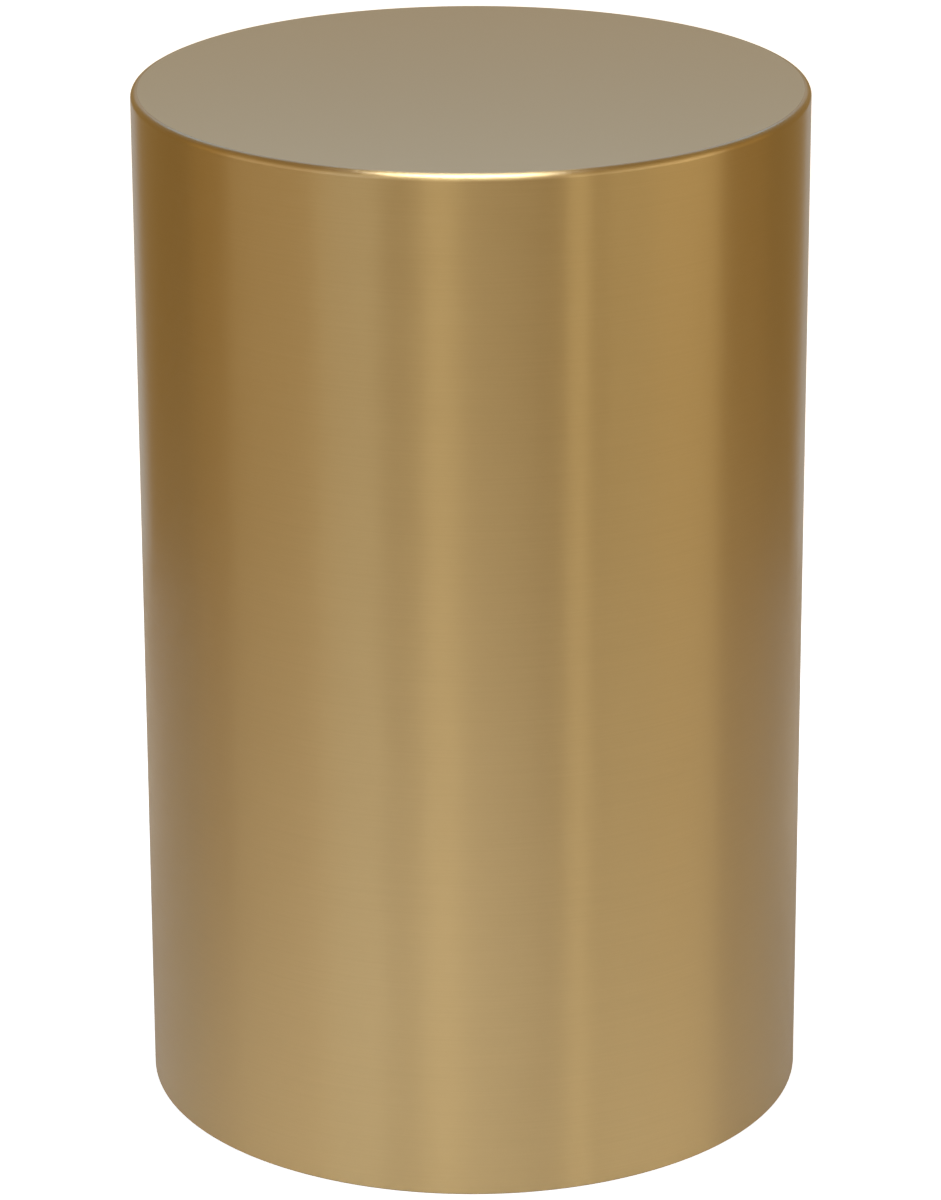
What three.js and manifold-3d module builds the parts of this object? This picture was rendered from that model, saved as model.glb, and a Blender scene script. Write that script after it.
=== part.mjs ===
// A plain round cremation urn of brushed sheet bronze, filled from below.
// The wall and the top are one seamless shell, open underneath. A turned base plate screws into the
// shell's lower end, so that nothing of the closure shows from the side.
// Millimetres, +Z up. The origin is the centre of the foot, on the surface that the urn stands on.
import * as THREE from "three";
import { mergeVertices } from "three/addons/utils/BufferGeometryUtils.js";
import Module from "manifold-3d";

// Driving dimensions
const DIAMETER = 146;
const HEIGHT = 228;
const SHEET = 2; // thickness of the wall and of the top
const RIM_ROUND = 1.5; // outer edge where the top meets the wall
const CORNER_ROUND = 1; // inner corner under the top
const FOOT_BEVEL = 0.5; // the wall's lower outer edge
const SEAT_HEIGHT = 6; // shoulder in the wall that the base plate screws up to
const SEAT_DEPTH = 0.8; // how far the seat is cut into the wall
const PLATE_THICKNESS = 5;
const PLATE_CLEARANCE = 0.3; // gap that stands for the thread around the plate
const PLATE_BEVEL = 0.4;
const KEY_HOLE_DIAMETER = 8; // two blind holes for the pin key that turns the plate
const KEY_HOLE_DEPTH = 3;
const KEY_HOLE_SPACING = 90;

// Facets
const SIDES = 128;
const RIM_STEPS = 6;
const CORNER_STEPS = 3;
const HOLE_SIDES = 24;

// Derived dimensions
const OUTER_RADIUS = DIAMETER / 2;
const BORE_RADIUS = OUTER_RADIUS - SHEET;
const SEAT_RADIUS = BORE_RADIUS + SEAT_DEPTH;
const PLATE_RADIUS = SEAT_RADIUS - PLATE_CLEARANCE;
const PLATE_BOTTOM = SEAT_HEIGHT - PLATE_THICKNESS;

const wasm = await Module();
wasm.setup();

// Points of a circular arc in the profile plane, from one angle to another in degrees.
function arc(centreRadius, centreHeight, radius, fromDegrees, toDegrees, steps) {
  return Array.from({ length: steps + 1 }, (_, i) => {
    const turn = THREE.MathUtils.degToRad(THREE.MathUtils.lerp(fromDegrees, toDegrees, i / steps));
    return new THREE.Vector2(
      centreRadius + radius * Math.cos(turn),
      centreHeight + radius * Math.sin(turn),
    );
  });
}

// Turns a profile of (radius, height) points about the vertical axis.
function turned(profile) {
  return new THREE.LatheGeometry(profile, SIDES).rotateX(Math.PI / 2);
}

// A closed geometry as a solid that can be cut.
function solidOf(geometry) {
  const bare = geometry.clone();
  bare.deleteAttribute("normal");
  bare.deleteAttribute("uv");
  const merged = mergeVertices(bare, 1e-4);
  return new wasm.Manifold(
    new wasm.Mesh({
      numProp: 3,
      vertProperties: merged.attributes.position.array,
      triVerts: new Uint32Array(merged.index.array),
    }),
  );
}

// A solid as a geometry to draw.
function geometryOf(solid) {
  const mesh = solid.getMesh();
  const geometry = new THREE.BufferGeometry();
  geometry.setAttribute("position", new THREE.BufferAttribute(mesh.vertProperties, 3));
  geometry.setIndex(new THREE.BufferAttribute(mesh.triVerts, 1));
  geometry.computeVertexNormals();
  return geometry;
}

// The shell's section: down the outside from the top's centre to the foot, then up the inside.
function shellProfile() {
  const insideTop = HEIGHT - SHEET;
  return [
    new THREE.Vector2(0, insideTop),
    ...arc(
      BORE_RADIUS - CORNER_ROUND,
      insideTop - CORNER_ROUND,
      CORNER_ROUND,
      90,
      0,
      CORNER_STEPS,
    ),
    new THREE.Vector2(BORE_RADIUS, SEAT_HEIGHT),
    new THREE.Vector2(SEAT_RADIUS, SEAT_HEIGHT),
    new THREE.Vector2(SEAT_RADIUS, 0),
    new THREE.Vector2(OUTER_RADIUS - FOOT_BEVEL, 0),
    new THREE.Vector2(OUTER_RADIUS, FOOT_BEVEL),
    ...arc(OUTER_RADIUS - RIM_ROUND, HEIGHT - RIM_ROUND, RIM_ROUND, 0, 90, RIM_STEPS),
    new THREE.Vector2(0, HEIGHT),
  ];
}

// The base plate's section, from the centre of its underside to the centre of its upper face.
function plateProfile() {
  return [
    new THREE.Vector2(0, PLATE_BOTTOM),
    new THREE.Vector2(PLATE_RADIUS - PLATE_BEVEL, PLATE_BOTTOM),
    new THREE.Vector2(PLATE_RADIUS, PLATE_BOTTOM + PLATE_BEVEL),
    new THREE.Vector2(PLATE_RADIUS, SEAT_HEIGHT),
    new THREE.Vector2(0, SEAT_HEIGHT),
  ];
}

// One blind key hole, as the round cutter that makes it, standing through the plate's underside.
function keyHoleCutter(x) {
  const radius = KEY_HOLE_DIAMETER / 2;
  const length = 2 * KEY_HOLE_DEPTH;
  const cutter = new THREE.CylinderGeometry(radius, radius, length, HOLE_SIDES);
  return solidOf(cutter.rotateX(Math.PI / 2).translate(x, 0, PLATE_BOTTOM));
}

function makeShell() {
  const brushedBronze = new THREE.MeshStandardMaterial({
    color: 0xb08d55,
    roughness: 0.36,
    metalness: 1,
  });
  const shell = new THREE.Mesh(turned(shellProfile()), brushedBronze);
  shell.name = "urn_shell";
  return shell;
}

function makeBasePlate() {
  const turnedBronze = new THREE.MeshStandardMaterial({
    color: 0xa5834d,
    roughness: 0.42,
    metalness: 1,
  });
  let plate = solidOf(turned(plateProfile()));
  for (const side of [-1, 1]) {
    plate = plate.subtract(keyHoleCutter((side * KEY_HOLE_SPACING) / 2));
  }
  const basePlate = new THREE.Mesh(geometryOf(plate), turnedBronze);
  basePlate.name = "base_plate";
  return basePlate;
}

const urn = new THREE.Group();
urn.name = "cremation_urn";
urn.add(makeShell(), makeBasePlate());

export default urn;
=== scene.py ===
"""A plain round cremation urn of brushed, lacquered bronze, with its stage.

The shell is a smooth turned surface that stands for the faceted shell of the frame. The base plate is
the frame's own solid with a turned finish.
"""
import math
from collections import namedtuple

import bpy
import numpy as np
from mathutils import Matrix, Quaternion, Vector


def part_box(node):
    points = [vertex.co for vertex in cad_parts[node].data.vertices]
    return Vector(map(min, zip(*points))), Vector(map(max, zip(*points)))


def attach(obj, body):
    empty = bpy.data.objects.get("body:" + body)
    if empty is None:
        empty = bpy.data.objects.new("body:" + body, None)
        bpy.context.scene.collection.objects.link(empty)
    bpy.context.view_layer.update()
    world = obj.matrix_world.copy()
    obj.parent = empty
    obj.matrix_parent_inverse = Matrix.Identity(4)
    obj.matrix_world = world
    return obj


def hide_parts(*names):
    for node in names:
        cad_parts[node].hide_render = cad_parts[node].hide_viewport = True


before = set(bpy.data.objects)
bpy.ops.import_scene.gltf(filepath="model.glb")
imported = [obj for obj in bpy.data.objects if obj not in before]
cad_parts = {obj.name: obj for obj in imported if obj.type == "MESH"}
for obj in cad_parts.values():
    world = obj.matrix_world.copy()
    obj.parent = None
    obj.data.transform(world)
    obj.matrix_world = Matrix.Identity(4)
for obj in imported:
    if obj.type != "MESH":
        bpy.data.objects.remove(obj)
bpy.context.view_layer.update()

bl_info = {
    "name": "Brushed bronze urn",
    "version": (1, 0, 0),
    "blender": (4, 5, 0),
    "location": "View3D > Sidebar > Urn",
    "description": "Makes a plain cylinder urn of brushed bronze on a pale studio floor",
    "category": "Object",
}

MM = 0.001
SHELL_NODE = "urn_shell"
PLATE_NODE = "base_plate"
# The exported model is painted through a map of this name, so the shell brings its own under it.
UV_MAP = "OFBake"
SHELL_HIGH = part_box(SHELL_NODE)[1]
PLATE_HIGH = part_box(PLATE_NODE)[1]
FILM_WIDTH_MM = 36


def linear(hex_colour):
    """The linear red, green and blue of an sRGB colour written as #RRGGBB."""
    srgb = np.array([int(hex_colour[i : i + 2], 16) for i in (1, 3, 5)]) / 255
    low, high = srgb / 12.92, ((srgb + 0.055) / 1.055) ** 2.4
    return tuple(float(value) for value in np.where(srgb <= 0.04045, low, high))


def length(name, description, metres):
    """A length in metres, as a property."""
    return bpy.props.FloatProperty(
        name=name, description=description, default=metres, unit="LENGTH", precision=4
    )


def colour(name, description, hex_colour):
    """A colour, as a property that holds linear values."""
    return bpy.props.FloatVectorProperty(
        name=name, description=description, default=linear(hex_colour), subtype="COLOR", size=3
    )


def angle(name, description, degrees):
    """An angle, as a property that holds radians."""
    return bpy.props.FloatProperty(
        name=name, description=description, default=math.radians(degrees), subtype="ANGLE"
    )


class UrnShape(bpy.types.PropertyGroup):
    """Sizes of the shell."""

    radius: length("Radius", "Outer radius of the wall", SHELL_HIGH.x)
    height: length("Height", "From the foot to the top", SHELL_HIGH.z)
    sheet: length("Sheet", "Thickness of the wall and of the top", 2 * MM)
    rim_round: length("Rim round", "Outer edge between the top and the wall", 1.5 * MM)
    inner_round: length("Inner round", "Inner corner under the top", 1 * MM)
    foot_round: length("Foot round", "Lower outer edge of the wall", 0.5 * MM)
    edge_round: length("Edge round", "Cut edges that only break the corner", 0.12 * MM)
    seat_height: length("Seat height", "Shoulder that the base plate meets", PLATE_HIGH.z)
    seat_depth: length("Seat depth", "How far the seat is cut into the wall", 0.8 * MM)
    sides: bpy.props.IntProperty(
        name="Sides", description="Steps round the axis", default=384, min=32
    )


class UrnFinish(bpy.types.PropertyGroup):
    """Colours of the metal."""

    bronze: colour("Bronze", "Brushed metal under the lacquer", "#CDB989")
    bronze_dark: colour("Deeper bronze", "Bottom of the brush lines", "#C4B081")
    bare: colour("Bare bronze", "Unlacquered metal inside and underneath", "#CFA871")
    bare_dark: colour("Dull bronze", "Dulled parts of the bare metal", "#B08A55")


class UrnStage(bpy.types.PropertyGroup):
    """Floor and camera."""

    floor: colour("Floor", "Pale sheet under the urn", "#F4F3F1")
    floor_radius: length("Floor radius", "How far the floor reaches", 7.0)
    floor_glow: bpy.props.FloatProperty(
        name="Floor glow", description="Light that the floor sheet gives off from behind", default=0.85
    )
    card: colour("Card", "Grey card that the urn mirrors instead of the floor", "#D2D2D2")
    card_radius: length("Card radius", "How far the card reaches", 0.42)
    card_front: length("Card front", "How far the card's middle is before the urn", 0.05)
    camera_distance: length("Camera distance", "Level distance from the axis", 1.091)
    camera_height: length("Camera height", "Above the floor", 0.5081)
    camera_pitch: angle("Camera pitch", "How far the camera looks down", 20.03)
    camera_yaw: angle("Camera yaw", "How far the camera looks left", 0.025)
    camera_roll: angle("Camera roll", "Turn about the line of sight", -0.212)
    camera_lens: bpy.props.FloatProperty(
        name="Lens", description="Focal length for a 36 mm picture", default=156.8
    )


def add_node(tree, kind, settings=None, **inputs):
    """Adds a node. settings are its own values; inputs are socket values or the sockets to link from.

    An input's name is the socket's name with underscores for spaces, or n and a number for its place.
    """
    node = tree.nodes.new(kind)
    for name, value in (settings or {}).items():
        setattr(node, name, value)
    for name, value in inputs.items():
        numbered = name[0] == "n" and name[1:].isdigit()
        socket = node.inputs[int(name[1:]) if numbered else name.replace("_", " ")]
        if isinstance(value, bpy.types.NodeSocket):
            tree.links.new(value, socket)
        else:
            socket.default_value = value
    return node


def new_material(name):
    """An empty node material, and its tree."""
    material = bpy.data.materials.new(name)
    material.use_nodes = True
    material.node_tree.nodes.clear()
    return material, material.node_tree


def brush_lines(tree, run, width):
    """Noise drawn out round the axis: run along the brushing and width across it, both in metres."""
    place = add_node(tree, "ShaderNodeTexCoord").outputs["Object"]
    drawn = add_node(
        tree, "ShaderNodeMapping", Vector=place, Scale=(1 / run, 1 / run, 1 / width)
    )
    noise = add_node(
        tree, "ShaderNodeTexNoise", Vector=drawn.outputs[0], Scale=1, Detail=3, Roughness=0.6
    )
    return noise.outputs["Fac"]


def brushed_lacquered_bronze(finish):
    """Bronze sheet brushed round the wall with a fine belt, then clear lacquered.

    To the eye: upright bands of light, sharp from side to side and smeared up and down, with hairlines
    across them, and a greyer gleam from the lacquer towards the outline.
    """
    material, tree = new_material("brushed_lacquered_bronze")
    # A belt of about 180 grit leaves lines near 0.1 mm. They are drawn at 0.3 mm to show at all.
    lines = brush_lines(tree, run=26 * MM, width=0.3 * MM)
    metal = add_node(
        tree,
        "ShaderNodeMix",
        {"data_type": "RGBA"},
        n0=lines,
        n6=(*finish.bronze_dark, 1),
        n7=(*finish.bronze, 1),
    )
    rough = add_node(
        tree, "ShaderNodeMapRange", Value=lines, From_Min=0.3, From_Max=0.7, To_Min=0.33, To_Max=0.39
    )
    ridges = add_node(
        tree, "ShaderNodeBump", Height=lines, Strength=0.05, Distance=0.03 * MM
    )
    round_the_wall = add_node(
        tree, "ShaderNodeTangent", {"direction_type": "UV_MAP", "uv_map": UV_MAP}
    )
    bronze = add_node(
        tree,
        "ShaderNodeBsdfPrincipled",
        Base_Color=metal.outputs[2],
        Metallic=1.0,
        Roughness=rough.outputs[0],
        Anisotropic=0.95,
        Anisotropic_Rotation=0.25,
        Tangent=round_the_wall.outputs[0],
        Normal=ridges.outputs[0],
        Coat_Weight=1.0,
        Coat_Roughness=0.25,
        Coat_IOR=1.5,
    )
    add_node(tree, "ShaderNodeOutputMaterial", Surface=bronze.outputs[0])
    return material


def satin_lacquered_bronze(finish):
    """The same sheet, rubbed to an even satin on the flat top and lacquered.

    To the eye: one soft, greyish reflection with hardly any grain.
    """
    material, tree = new_material("satin_lacquered_bronze")
    place = add_node(tree, "ShaderNodeTexCoord").outputs["Object"]
    # Fine rubbing leaves a grain near 0.1 mm. It is drawn at 0.5 mm to show at all.
    grain = add_node(
        tree, "ShaderNodeTexNoise", Vector=place, Scale=1 / (0.5 * MM), Detail=2
    ).outputs["Fac"]
    metal = add_node(
        tree,
        "ShaderNodeMix",
        {"data_type": "RGBA"},
        n0=grain,
        n6=(*finish.bronze_dark, 1),
        n7=(*finish.bronze, 1),
    )
    rough = add_node(
        tree, "ShaderNodeMapRange", Value=grain, From_Min=0.3, From_Max=0.7, To_Min=0.36, To_Max=0.4
    )
    bronze = add_node(
        tree,
        "ShaderNodeBsdfPrincipled",
        Base_Color=metal.outputs[2],
        Metallic=1.0,
        Roughness=rough.outputs[0],
        Coat_Weight=1.0,
        Coat_Roughness=0.3,
        Coat_IOR=1.5,
    )
    add_node(tree, "ShaderNodeOutputMaterial", Surface=bronze.outputs[0])
    return material


def bare_rolled_bronze(finish):
    """Sheet as it left the rolls, unlacquered, inside the chamber.

    To the eye: dull and a little blotched.
    """
    material, tree = new_material("bare_rolled_bronze")
    place = add_node(tree, "ShaderNodeTexCoord").outputs["Object"]
    blotches = add_node(
        tree, "ShaderNodeTexNoise", Vector=place, Scale=1 / (14 * MM), Detail=5
    ).outputs["Fac"]
    metal = add_node(
        tree,
        "ShaderNodeMix",
        {"data_type": "RGBA"},
        n0=blotches,
        n6=(*finish.bare_dark, 1),
        n7=(*finish.bare, 1),
    )
    bronze = add_node(
        tree,
        "ShaderNodeBsdfPrincipled",
        Base_Color=metal.outputs[2],
        Metallic=1.0,
        Roughness=0.5,
    )
    add_node(tree, "ShaderNodeOutputMaterial", Surface=bronze.outputs[0])
    return material


def turned_bronze(finish):
    """Plate faced on a lathe, unlacquered.

    To the eye: fine rings about the centre, dulled in patches.
    """
    material, tree = new_material("turned_bronze")
    place = add_node(tree, "ShaderNodeTexCoord").outputs["Object"]
    across = add_node(
        tree, "ShaderNodeVectorMath", {"operation": "MULTIPLY"}, n0=place, n1=(1, 1, 0)
    )
    radius = add_node(
        tree, "ShaderNodeVectorMath", {"operation": "LENGTH"}, n0=across.outputs[0]
    ).outputs["Value"]
    # A facing cut advances about 0.15 mm a turn. The rings are drawn at 0.6 mm to show at all.
    turns = add_node(
        tree, "ShaderNodeMath", {"operation": "DIVIDE"}, n0=radius, n1=0.6 * MM
    )
    rings = add_node(
        tree, "ShaderNodeTexNoise", {"noise_dimensions": "1D"}, W=turns.outputs[0], Scale=1, Detail=2
    ).outputs["Fac"]
    metal = add_node(
        tree,
        "ShaderNodeMix",
        {"data_type": "RGBA"},
        n0=rings,
        n6=(*finish.bare_dark, 1),
        n7=(*finish.bare, 1),
    )
    rough = add_node(
        tree, "ShaderNodeMapRange", Value=rings, From_Min=0.3, From_Max=0.7, To_Min=0.34, To_Max=0.46
    )
    grooves = add_node(
        tree, "ShaderNodeBump", Height=rings, Strength=0.3, Distance=0.05 * MM
    )
    bronze = add_node(
        tree,
        "ShaderNodeBsdfPrincipled",
        Base_Color=metal.outputs[2],
        Metallic=1.0,
        Roughness=rough.outputs[0],
        Normal=grooves.outputs[0],
    )
    add_node(tree, "ShaderNodeOutputMaterial", Surface=bronze.outputs[0])
    return material


def matt_paper(name, tint, glow):
    """Seamless studio paper: an even, pale, shineless sheet, which may be lit from behind."""
    material, tree = new_material(name)
    paper = add_node(
        tree,
        "ShaderNodeBsdfPrincipled",
        Base_Color=(*tint, 1),
        Roughness=0.9,
        Specular_IOR_Level=0.2,
        Emission_Color=(1, 1, 1, 1),
        Emission_Strength=glow,
    )
    add_node(tree, "ShaderNodeOutputMaterial", Surface=paper.outputs[0])
    return material


def rounded_profile(corners, rounds, steps):
    """A section line of straight runs and round corners, as points and outward normals.

    corners are (radius, height) points in travel order with the metal on the right. Corner i becomes
    an arc of radius rounds[i] that is tangent to both runs: with the turn t between the two
    directions, it starts rounds[i] * tan(t / 2) before the corner, and its normal turns evenly from
    one run's normal to the other's. The first and last corners stay as they are.
    """
    corners = np.asarray(corners, float)
    rounds = np.asarray(rounds, float)[1:-1, None]
    runs = np.diff(corners, axis=0)
    runs /= np.linalg.norm(runs, axis=1, keepdims=True)
    before, after = runs[:-1], runs[1:]
    turn = np.arctan2(
        before[:, 0] * after[:, 1] - before[:, 1] * after[:, 0], (before * after).sum(1)
    )[:, None]
    start = np.arctan2(before[:, 0], -before[:, 1])[:, None]
    facing = start + turn * np.linspace(0, 1, steps + 1)
    normals = np.stack([np.cos(facing), np.sin(facing)], axis=2)
    outer = -np.sign(turn) * rounds
    centre = corners[1:-1] - before * rounds * np.tan(abs(turn) / 2) - outer * normals[:, 0]
    points = centre[:, None] + outer[:, None] * normals
    ends = np.stack([-runs[[0, -1], 1], runs[[0, -1], 0]], axis=1)
    points = np.concatenate([corners[:1], points.reshape(-1, 2), corners[-1:]])
    normals = np.concatenate([ends[:1], normals.reshape(-1, 2), ends[1:]])
    return points, normals


def turned_mesh(name, points, normals, sides):
    """A section line carried round the axis: x = r cos t, y = r sin t, z = h, for t from 0 to one turn.

    Both ends of the line are on the axis, where a fan of triangles closes the surface. The seam is at
    the back. Each corner takes the line's own normal, so that arcs shade as true rounds.
    """
    rings = len(points) - 2
    turn = np.pi / 2 + np.arange(sides) * 2 * np.pi / sides
    around = np.stack([np.cos(turn), np.sin(turn)], axis=1)

    def carried(line):
        flat = line[1:-1, None, :1] * around
        upright = np.broadcast_to(line[1:-1, None, 1:], (rings, sides, 1))
        body = np.concatenate([flat, upright], axis=2).reshape(-1, 3)
        poles = np.array([[0, 0, line[0, 1]], [0, 0, line[-1, 1]]])
        return np.concatenate([poles[:1], body, poles[1:]])

    index = 1 + np.arange(rings * sides).reshape(rings, sides)
    beside = np.roll(index, -1, axis=1)
    quads = np.stack([index[:-1], index[1:], beside[1:], beside[:-1]], axis=2).reshape(-1, 4)
    last = rings * sides + 1
    fan = np.stack([np.zeros(sides, int), index[0], beside[0]], axis=1)
    last_fan = np.stack([np.full(sides, last), beside[-1], index[-1]], axis=1)
    corners = np.concatenate([fan.ravel(), quads.ravel(), last_fan.ravel()])
    counts = np.concatenate([np.full(sides, 3), np.full(len(quads), 4), np.full(sides, 3)])

    mesh = bpy.data.meshes.new(name)
    mesh.vertices.add(last + 1)
    mesh.vertices.foreach_set("co", carried(points).ravel())
    mesh.loops.add(len(corners))
    mesh.loops.foreach_set("vertex_index", corners)
    mesh.polygons.add(len(counts))
    mesh.polygons.foreach_set("loop_start", np.cumsum(counts) - counts)
    mesh.update(calc_edges=True)
    mesh.validate()
    mesh.polygons.foreach_set("use_smooth", np.ones(len(counts), bool))
    mesh.normals_split_custom_set_from_vertices(carried(normals))
    return mesh


def add_piece(name, mesh, materials):
    """An object at the origin that shows this mesh in these materials."""
    piece = bpy.data.objects.new(name, mesh)
    bpy.context.scene.collection.objects.link(piece)
    for material in materials:
        mesh.materials.append(material)
    return piece


def shell_section(shape, steps):
    """The shell's section from the middle of the top, down the wall and up the inside, in metres."""
    bore = shape.radius - shape.sheet
    seat = bore + shape.seat_depth
    ceiling = shape.height - shape.sheet
    corners = [
        (0, shape.height),
        (shape.radius, shape.height),
        (shape.radius, 0),
        (seat, 0),
        (seat, shape.seat_height),
        (bore, shape.seat_height),
        (bore, ceiling),
        (0, ceiling),
    ]
    edge = shape.edge_round
    rounds = [0, shape.rim_round, shape.foot_round, edge, edge, edge, shape.inner_round, 0]
    return rounded_profile(corners, rounds, steps)


class URN_OT_shell(bpy.types.Operator):
    """Make the wall and the top as one smooth turned shell"""

    bl_idname = "urn.shell"
    bl_label = "Urn shell"

    def execute(self, context):
        shape = context.scene.urn_shape
        finish = context.scene.urn_finish
        steps = 10
        points, normals = shell_section(shape, steps)
        mesh = turned_mesh("urn_shell_smooth", points, normals, shape.sides)
        piece = add_piece(
            "urn_shell_smooth",
            mesh,
            [
                satin_lacquered_bronze(finish),
                brushed_lacquered_bronze(finish),
                bare_rolled_bronze(finish),
            ],
        )
        # Bands of faces from the top's middle: the flat top, then the rim, wall and foot, then the inside.
        band = np.repeat(np.arange(len(points) - 1), shape.sides)
        wall_ends = 1 + 2 * (steps + 1)
        zone = (band >= 1).astype(int) + (band >= wall_ends)
        mesh.polygons.foreach_set("material_index", zone)
        lay_out_shell(mesh, points, zone, wall_ends, shape)
        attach(piece, "root")
        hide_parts(SHELL_NODE)
        return {"FINISHED"}


def lay_out_shell(mesh, points, zone, wall_ends, shape):
    """Lays the shell out flat in a unit square.

    The wall is a strip, round the urn from left to right and along the section from top to bottom. The
    top is a disc seen from above. The inside is a second strip at half the scale, with its ceiling.
    """
    margin = 0.01
    top_middle, ceiling_middle = (0.17, 0.33), (0.91, 0.40)
    inner_left, inner_top, inner_span, inner_scale = 0.35, 0.48, 0.46, 0.5
    scale = (1 - 2 * margin) / (2 * np.pi * shape.radius)
    run = np.concatenate([[0], np.cumsum(np.linalg.norm(np.diff(points, axis=0), axis=1))])
    count = len(mesh.loops)
    vertex = np.empty(count, np.int32)
    mesh.loops.foreach_get("vertex_index", vertex)
    place = np.empty(len(mesh.vertices) * 3)
    mesh.vertices.foreach_get("co", place)
    place = place.reshape(-1, 3)[vertex]
    starts = np.empty(len(mesh.polygons), np.int32)
    mesh.polygons.foreach_get("loop_start", starts)
    counts = np.diff(np.append(starts, count))
    face = np.repeat(np.arange(len(starts)), counts)
    column = face % shape.sides
    position = np.arange(count) - starts[face]
    quad = counts[face] == 4
    right = np.where(quad, position >= 2, position == np.where(face < shape.sides, 2, 1))
    turn = (column + right) / shape.sides
    ring = np.where(vertex == vertex.max(), len(points) - 1, (vertex - 1) // shape.sides + 1)
    along = run[ring] * scale
    kind = zone[face]
    disc = place[:, :2] * scale
    top = disc + top_middle
    wall_down = along - run[1] * scale
    wall = np.stack([margin + turn * (1 - 2 * margin), 1 - margin - wall_down], axis=1)
    inner_down = inner_scale * (along - run[wall_ends] * scale)
    inner = np.stack([inner_left + turn * inner_span, inner_top - inner_down], axis=1)
    ceiling_face = face >= len(starts) - shape.sides
    ceiling = inner_scale * disc + ceiling_middle
    uv = np.where((kind == 0)[:, None], top, np.where((kind == 1)[:, None], wall, inner))
    uv = np.where(ceiling_face[:, None], ceiling, uv)
    layer = mesh.uv_layers.new(name=UV_MAP)
    layer.uv.foreach_set("vector", uv.astype(np.float32).ravel())


class URN_OT_base_plate(bpy.types.Operator):
    """Give the base plate its turned finish"""

    bl_idname = "urn.base_plate"
    bl_label = "Base plate"

    def execute(self, context):
        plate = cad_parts[PLATE_NODE]
        plate.data.materials.clear()
        plate.data.materials.append(turned_bronze(context.scene.urn_finish))
        return {"FINISHED"}


# Tints of the lamps and of the room.
WHITE = "#FFFFFF"
COOL_WHITE = "#F0F6FF"
WARM_WHITE = "#FFF3DA"
AMBER = "#FFCF80"
PALE_BLUE = "#BEE0FF"
BLUE = "#78C0FF"
# A lamp stands at a distance from the urn's axis, its azimuth counted from the camera to the right and
# its height that of its middle. It faces aim, a height on the axis, or straight down where aim is None.
# Its spread is the full angle that its grid lets through.
Lamp = namedtuple("Lamp", "name azimuth height distance width tall radiance tint aim spread")
# The aim of a panel that lies on the floor and shines upwards.
SKY = 50.0
LAMPS = (
    Lamp("top_softbox", -5, 1.2, 0.3, 0.65, 0.4, 9.0, WHITE, None, 180),
    Lamp("floor_softbox", -10, 0.5, 0.2, 0.25, 0.25, 0.6, WHITE, None, 45),
    Lamp("left_softbox", -58, 0.55, 2.0, 2.2, 1.1, 0.45, WHITE, 0.1, 180),
    Lamp("left_outer_softbox", -76, 0.55, 2.0, 2.2, 1.1, 0.3, AMBER, 0.1, 180),
    Lamp("left_window", -40, 0.55, 2.0, 0.8, 1.1, 0.55, COOL_WHITE, 0.1, 180),
    Lamp("front_strip", -10, 0.55, 2.0, 0.4, 1.1, 0.8, WARM_WHITE, 0.1, 180),
    Lamp("right_strip", 35, 0.55, 2.0, 0.25, 1.1, 1.8, WARM_WHITE, 0.1, 180),
    Lamp("right_softbox", 66, 0.55, 2.0, 1.75, 1.1, 1.0, WARM_WHITE, 0.1, 180),
    Lamp("right_outer_softbox", 88, 0.55, 2.0, 2.0, 1.1, 0.25, AMBER, 0.1, 180),
    Lamp("left_floor_panel", -160, 0.002, 0.75, 0.3, 1.0, 0.4, PALE_BLUE, SKY, 180),
    Lamp("right_floor_panel", 160, 0.002, 0.75, 0.3, 1.0, 0.35, PALE_BLUE, SKY, 180),
    Lamp("back_softbox", 180, 1.3, 2.2, 2.0, 1.4, 0.3, PALE_BLUE, 0.2, 180),
    Lamp("back_strip", 180, 0.42, 0.25, 0.4, 0.1, 0.9, BLUE, SHELL_HIGH.z, 180),
)
ROOM_RADIANCE = 0.33


def add_lamp(lamp):
    """A rectangular soft lamp. Its power is worked out from its radiance, so that size keeps its look."""
    light = bpy.data.lights.new(lamp.name, "AREA")
    light.shape = "RECTANGLE"
    light.size, light.size_y = lamp.width, lamp.tall
    light.spread = math.radians(lamp.spread)
    light.color = linear(lamp.tint)
    light.energy = lamp.radiance * math.pi * lamp.width * lamp.tall
    holder = bpy.data.objects.new(lamp.name, light)
    turn = math.radians(lamp.azimuth)
    holder.location = (
        lamp.distance * math.sin(turn),
        -lamp.distance * math.cos(turn),
        lamp.height,
    )
    holder.rotation_mode = "QUATERNION"
    if lamp.aim is not None:
        towards = Vector((0, 0, lamp.aim)) - holder.location
        holder.rotation_quaternion = towards.to_track_quat("-Z", "Y")
    holder.visible_camera = False
    bpy.context.scene.collection.objects.link(holder)


def disc_mesh(name, radius, front, sides=96):
    """A flat disc at height 0 whose middle is moved to the front, as a thin turned surface."""
    thickness = 2 * MM
    line = np.array([(0, 0), (radius, 0), (radius, -thickness), (0, -thickness)], float)
    normals = np.array([(0, 1), (0, 1), (0, -1), (0, -1)], float)
    mesh = turned_mesh(name, line, normals, sides)
    mesh.transform(Matrix.Translation((0, -front, 0)))
    return mesh


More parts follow.
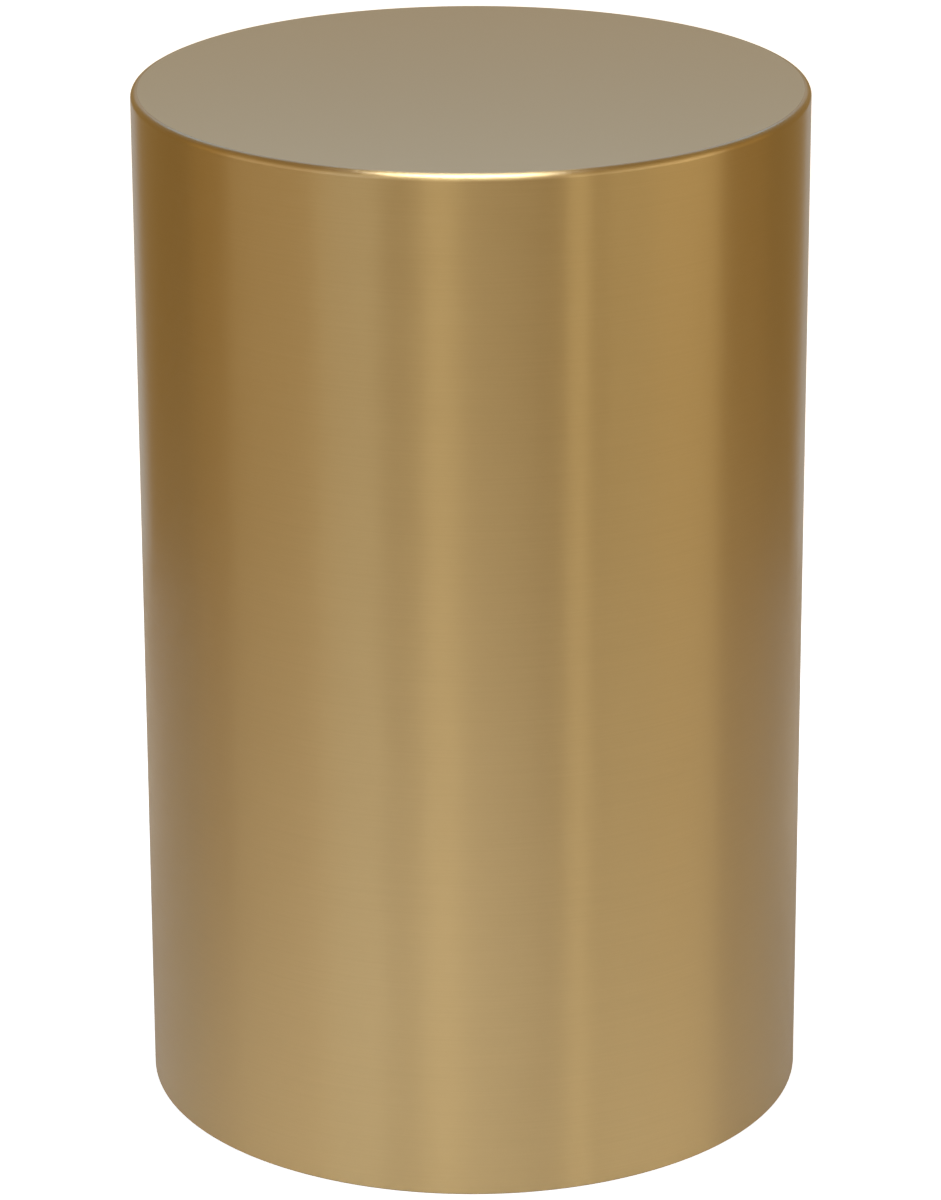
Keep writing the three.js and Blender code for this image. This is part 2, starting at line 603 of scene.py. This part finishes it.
class URN_OT_stage(bpy.types.Operator):
    """Set the floor, the lamps and the camera"""

    bl_idname = "urn.stage"
    bl_label = "Stage"

    def execute(self, context):
        scene = context.scene
        stage = scene.urn_stage
        # The photographed urn is cut out on white, and it mirrors a smaller sheet than that white. So
        # the wide floor is for the camera alone, and the card is for what the metal mirrors.
        floor = add_piece(
            "studio_floor",
            disc_mesh("studio_floor", stage.floor_radius, 0),
            [matt_paper("glowing_paper", stage.floor, stage.floor_glow)],
        )
        floor.visible_glossy = floor.visible_diffuse = floor.visible_shadow = False
        card = add_piece(
            "grey_card",
            disc_mesh("grey_card", stage.card_radius, stage.card_front),
            [matt_paper("matt_card", stage.card, 0.0)],
        )
        card.visible_camera = card.visible_shadow = False
        for lamp in LAMPS:
            add_lamp(lamp)
        world = bpy.data.worlds.new("studio_room")
        scene.world = world
        world.use_nodes = True
        world.node_tree.nodes.clear()
        room = add_node(
            world.node_tree,
            "ShaderNodeBackground",
            Color=(*linear(AMBER), 1),
            Strength=ROOM_RADIANCE,
        )
        add_node(world.node_tree, "ShaderNodeOutputWorld", Surface=room.outputs[0])
        camera = bpy.data.objects.new("camera", bpy.data.cameras.new("camera"))
        camera.data.lens = stage.camera_lens
        camera.data.sensor_width = FILM_WIDTH_MM
        camera.data.clip_start, camera.data.clip_end = 0.01, 50
        camera.location = (0, -stage.camera_distance, stage.camera_height)
        camera.rotation_mode = "QUATERNION"
        camera.rotation_quaternion = (
            Quaternion((0, 0, 1), stage.camera_yaw)
            @ Quaternion((1, 0, 0), math.pi / 2 - stage.camera_pitch)
            @ Quaternion((0, 0, 1), stage.camera_roll)
        )
        scene.collection.objects.link(camera)
        scene.camera = camera
        scene.view_settings.view_transform = "Standard"
        return {"FINISHED"}


class URN_PT_sidebar(bpy.types.Panel):
    """The urn's sizes, colours and steps"""

    bl_idname = "URN_PT_sidebar"
    bl_label = "Brushed bronze urn"
    bl_space_type = "VIEW_3D"
    bl_region_type = "UI"
    bl_category = "Urn"

    def draw(self, context):
        for group in (context.scene.urn_shape, context.scene.urn_finish, context.scene.urn_stage):
            box = self.layout.box()
            for name in group.bl_rna.properties.keys():
                if name not in ("rna_type", "name"):
                    box.prop(group, name)
        for step in (URN_OT_shell, URN_OT_base_plate, URN_OT_stage):
            self.layout.operator(step.bl_idname)


CLASSES = (
    UrnShape,
    UrnFinish,
    UrnStage,
    URN_OT_shell,
    URN_OT_base_plate,
    URN_OT_stage,
    URN_PT_sidebar,
)


def register():
    for item in CLASSES:
        bpy.utils.register_class(item)
    bpy.types.Scene.urn_shape = bpy.props.PointerProperty(type=UrnShape)
    bpy.types.Scene.urn_finish = bpy.props.PointerProperty(type=UrnFinish)
    bpy.types.Scene.urn_stage = bpy.props.PointerProperty(type=UrnStage)


def unregister():
    del bpy.types.Scene.urn_stage
    del bpy.types.Scene.urn_finish
    del bpy.types.Scene.urn_shape
    for item in reversed(CLASSES):
        bpy.utils.unregister_class(item)


def main():
    register()
    bpy.ops.urn.shell()
    bpy.ops.urn.base_plate()
    bpy.ops.urn.stage()


if __name__ == "__main__":
    main()
